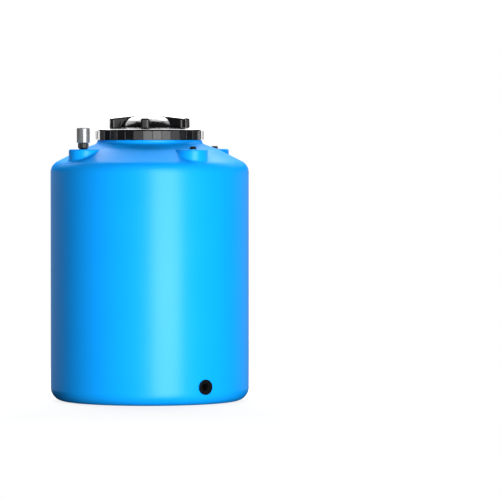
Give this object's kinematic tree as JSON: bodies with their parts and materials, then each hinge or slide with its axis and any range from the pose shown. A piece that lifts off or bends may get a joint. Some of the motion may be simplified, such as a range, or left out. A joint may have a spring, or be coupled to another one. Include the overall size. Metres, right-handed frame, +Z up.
{
  "type": "water storage tank",
  "caption": "Upright round blue plastic water tank with a black ribbed screw lid, a metal-capped vent and plugged ports on shoulder bosses, and a low threaded outlet.",
  "frame": {"origin": "centre of the base, on the floor", "axes": "+Z up along the tank's axis, -Y out of the low outlet"},
  "size_m": [0.83, 0.8396, 1.1954],
  "materials": {
    "tank_blue": "semi-gloss moulded polyethylene",
    "lid_black": "glossy moulded plastic",
    "fitting_black": "satin moulded plastic",
    "vent_steel": "turned bright metal",
    "insert_brass": "turned brass",
    "seal_rubber": "moulded rubber"
  },
  "bodies": {
    "tank": {"tank_shell": "tank_blue", "vent_insert": "insert_brass", "front_port_insert": "insert_brass", "right_port_insert": "insert_brass", "rear_port_insert": "insert_brass", "outlet_body": "fitting_black", "outlet_gasket": "seal_rubber", "outlet_washer": "fitting_black", "outlet_backnut": "fitting_black"},
    "lid_seal": {"lid_gasket": "seal_rubber"},
    "lid_cover": {"lid": "lid_black"},
    "vent_base": {"vent_seal": "seal_rubber"},
    "vent": {"vent_collar": "fitting_black", "vent_screen": "vent_steel", "vent_cap": "vent_steel"},
    "front_plug_base": {"front_plug_seal": "seal_rubber"},
    "front_plug_head": {"front_plug": "fitting_black"},
    "right_plug_base": {"right_plug_seal": "seal_rubber"},
    "right_plug_head": {"right_plug": "fitting_black"},
    "rear_plug_base": {"rear_plug_seal": "seal_rubber"},
    "rear_plug_head": {"rear_plug": "fitting_black"}
  },
  "joints": [
    {"name": "lid_rise", "type": "slide", "parent": "tank", "child": "lid_seal", "axis": [0, 0, 1], "range_m": [0, 0.1441]},
    {"name": "lid_turn", "type": "hinge", "parent": "lid_seal", "child": "lid_cover", "pos_m": [0, 0, 1.11], "axis": [0, 0, 1], "range_deg": [0, 1080]},
    {"name": "vent_rise", "type": "slide", "parent": "tank", "child": "vent_base", "axis": [0, 0, 1], "range_m": [0, 0.0241]},
    {"name": "vent_turn", "type": "hinge", "parent": "vent_base", "child": "vent", "pos_m": [-0.328, 0, 1.053], "axis": [0, 0, 1], "range_deg": [0, 2160]},
    {"name": "front_plug_rise", "type": "slide", "parent": "tank", "child": "front_plug_base", "axis": [0, 0, 1], "range_m": [0, 0.0241]},
    {"name": "front_plug_turn", "type": "hinge", "parent": "front_plug_base", "child": "front_plug_head", "pos_m": [0, -0.328, 1.053], "axis": [0, 0, 1], "range_deg": [0, 2160]},
    {"name": "right_plug_rise", "type": "slide", "parent": "tank", "child": "right_plug_base", "axis": [0, 0, 1], "range_m": [0, 0.0241]},
    {"name": "right_plug_turn", "type": "hinge", "parent": "right_plug_base", "child": "right_plug_head", "pos_m": [0.328, 0, 1.053], "axis": [0, 0, 1], "range_deg": [0, 2160]},
    {"name": "rear_plug_rise", "type": "slide", "parent": "tank", "child": "rear_plug_base", "axis": [0, 0, 1], "range_m": [0, 0.0241]},
    {"name": "rear_plug_turn", "type": "hinge", "parent": "rear_plug_base", "child": "rear_plug_head", "pos_m": [0, 0.328, 1.053], "axis": [0, 0, 1], "range_deg": [0, 2160]}
  ],
  "couplings": [
    {"joint": "lid_rise", "follows": "lid_turn", "m_per_rad": 0.0076394},
    {"joint": "vent_rise", "follows": "vent_turn", "m_per_rad": 0.00063662},
    {"joint": "front_plug_rise", "follows": "front_plug_turn", "m_per_rad": 0.00063662},
    {"joint": "right_plug_rise", "follows": "right_plug_turn", "m_per_rad": 0.00063662},
    {"joint": "rear_plug_rise", "follows": "rear_plug_turn", "m_per_rad": 0.00063662}
  ]
}
